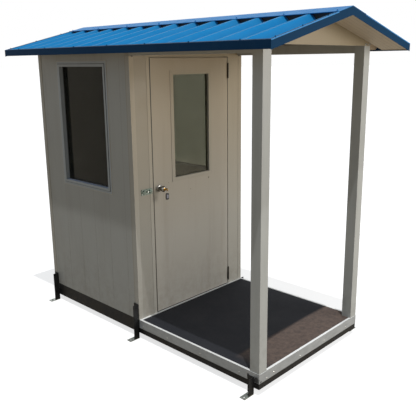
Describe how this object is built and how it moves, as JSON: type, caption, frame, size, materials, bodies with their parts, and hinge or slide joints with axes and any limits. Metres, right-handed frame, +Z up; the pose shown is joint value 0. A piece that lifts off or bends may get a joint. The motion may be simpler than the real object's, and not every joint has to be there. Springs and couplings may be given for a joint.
{
  "type": "metal hut with open porch",
  "caption": "Small insulated-panel metal hut: cabin with a side window and a half-glazed door that opens outward, an open porch on posts, one ribbed gable roof, base frame on legs.",
  "frame": {"origin": "on the ground, under the centre of the roof's footprint", "axes": "+X to the right seen from the porch, -Y towards the porch, +Z up"},
  "size_m": [1.583, 2.778, 2.4134],
  "materials": {
    "wall_paint": "smooth factory-painted steel skin, cream",
    "post_paint": "smooth light grey paint",
    "window_paint": "smooth cream paint",
    "edge_trim": "light folded steel, slightly worn",
    "roof_blue": "bright blue colour-coated steel, semi-gloss",
    "base_black": "black paint, dusty",
    "galvanised": "galvanised steel",
    "floor_board": "plain board",
    "mat_rubber": "matt black floor mat",
    "glass": "dark tinted glass",
    "hinge_steel": "dark steel",
    "knob_chrome": "polished",
    "key_brass": "plain brass",
    "fob_black": "black plastic"
  },
  "bodies": {
    "hut": {"base_rail_left": "base_black", "base_rail_right": "base_black", "base_rail_front": "base_black", "base_rail_back": "base_black", "base_rail_middle": "base_black", "floor_joists": "base_black", "porch_floor": "floor_board", "cabin_floor": "floor_board", "porch_mat": "mat_rubber", "porch_edge_left": "edge_trim", "porch_edge_right": "edge_trim", "porch_edge_front": "edge_trim", "door_sill": "edge_trim", "legs_left": "base_black", "legs_right": "base_black", "foot_plates_left": "galvanised", "foot_plates_right": "galvanised", "left_wall": "wall_paint", "right_wall": "wall_paint", "back_wall": "wall_paint", "front_wall_left": "wall_paint", "front_wall_right": "wall_paint", "front_gable": "wall_paint", "porch_gable": "wall_paint", "corner_trims": "wall_paint", "porch_post_left": "post_paint", "porch_post_right": "post_paint", "top_plate_left": "post_paint", "top_plate_right": "post_paint", "ridge_beam": "post_paint", "roof_sheet_left": "roof_blue", "roof_sheet_right": "roof_blue", "ridge_cap": "roof_blue", "eave_fascia_left": "roof_blue", "eave_fascia_right": "roof_blue", "barge_front": "roof_blue", "barge_back": "roof_blue", "door_frame": "wall_paint", "frame_hinge_leaves": "hinge_steel", "latch_plate": "galvanised", "window_frame_left": "window_paint", "window_frame_right": "window_paint", "window_glass_left": "glass", "window_glass_right": "glass"},
    "door": {"door_leaf": "wall_paint", "door_glass": "glass", "door_glazing_beads": "wall_paint", "door_hinge_leaves": "hinge_steel", "door_knob": "knob_chrome", "door_key": "key_brass", "key_fob": "fob_black"}
  },
  "joints": [
    {"name": "door_hinge", "type": "hinge", "parent": "hut", "child": "door", "pos_m": [0.427, -0.01, 1.1385], "axis": [0, 0, 1], "range_deg": [0, 170]}
  ]
}
